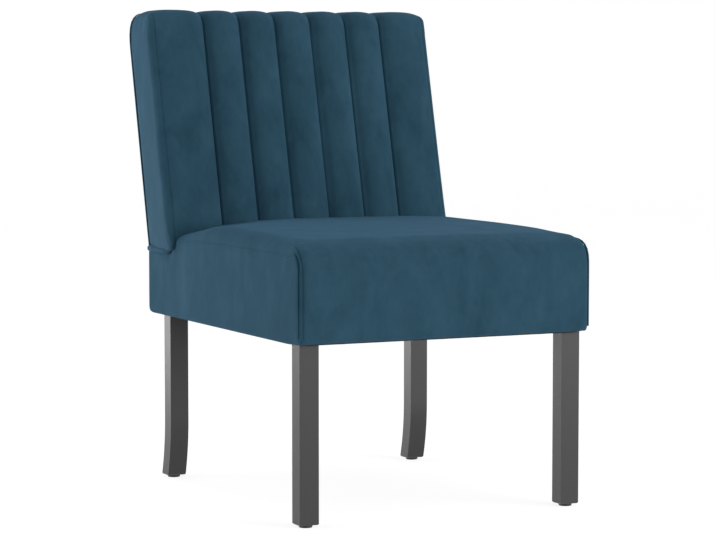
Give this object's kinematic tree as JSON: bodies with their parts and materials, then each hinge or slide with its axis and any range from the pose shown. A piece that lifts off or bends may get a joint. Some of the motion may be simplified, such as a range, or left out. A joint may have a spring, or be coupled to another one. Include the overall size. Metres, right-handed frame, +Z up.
{
  "type": "slipper chair",
  "caption": "Armless slipper chair with a boxed waterfall seat, a raked channelled back and slim square legs, the rear ones curved back.",
  "frame": {"origin": "on the floor under the middle of the chair's outline", "axes": "+Z up, the front of the seat faces -Y, +X to the right as seen from the front"},
  "size_m": [0.5, 0.6936, 0.77],
  "materials": {
    "velvet": "short-pile velvet, soft sheen",
    "foam": "polyurethane foam and polyester wadding, matt",
    "black_legs": "black lacquer, satin",
    "timber": "planed softwood and hardboard, raw",
    "webbing": "woven jute, matt",
    "underside_cloth": "spun-bonded cloth, matt",
    "steel": "zinc plated",
    "nylon": "moulded nylon, matt"
  },
  "bodies": {
    "root": {"back_channel_panel": "velvet", "back_foam": "foam", "back_frame_dowels": "timber", "back_left_boxing": "velvet", "back_left_piping": "velvet", "back_left_post": "timber", "back_lower_rail": "timber", "back_middle_rail": "timber", "back_outer_panel": "velvet", "back_right_boxing": "velvet", "back_right_piping": "velvet", "back_right_post": "timber", "back_support_board": "timber", "back_top_rail": "timber", "corner_block_screws": "steel", "dust_cover": "underside_cloth", "dust_cover_staples": "steel", "front_left_corner_block": "timber", "front_left_glide": "nylon", "front_left_leg": "black_legs", "front_right_corner_block": "timber", "front_right_glide": "nylon", "front_right_leg": "black_legs", "leg_hanger_bolts": "steel", "leg_threaded_inserts": "steel", "rear_left_corner_block": "timber", "rear_left_glide": "nylon", "rear_left_leg": "black_legs", "rear_right_corner_block": "timber", "rear_right_glide": "nylon", "rear_right_leg": "black_legs", "seat_deck_cloth": "webbing", "seat_foam": "foam", "seat_frame_dowels": "timber", "seat_front_rail": "timber", "seat_left_panel": "velvet", "seat_left_rail": "timber", "seat_left_welt": "velvet", "seat_rail_wadding": "foam", "seat_rear_cover": "velvet", "seat_rear_rail": "timber", "seat_right_panel": "velvet", "seat_right_rail": "timber", "seat_right_welt": "velvet", "seat_waterfall_cover": "velvet", "seat_webbing_crosswise": "webbing", "seat_webbing_lengthwise": "webbing"}
  },
  "joints": []
}
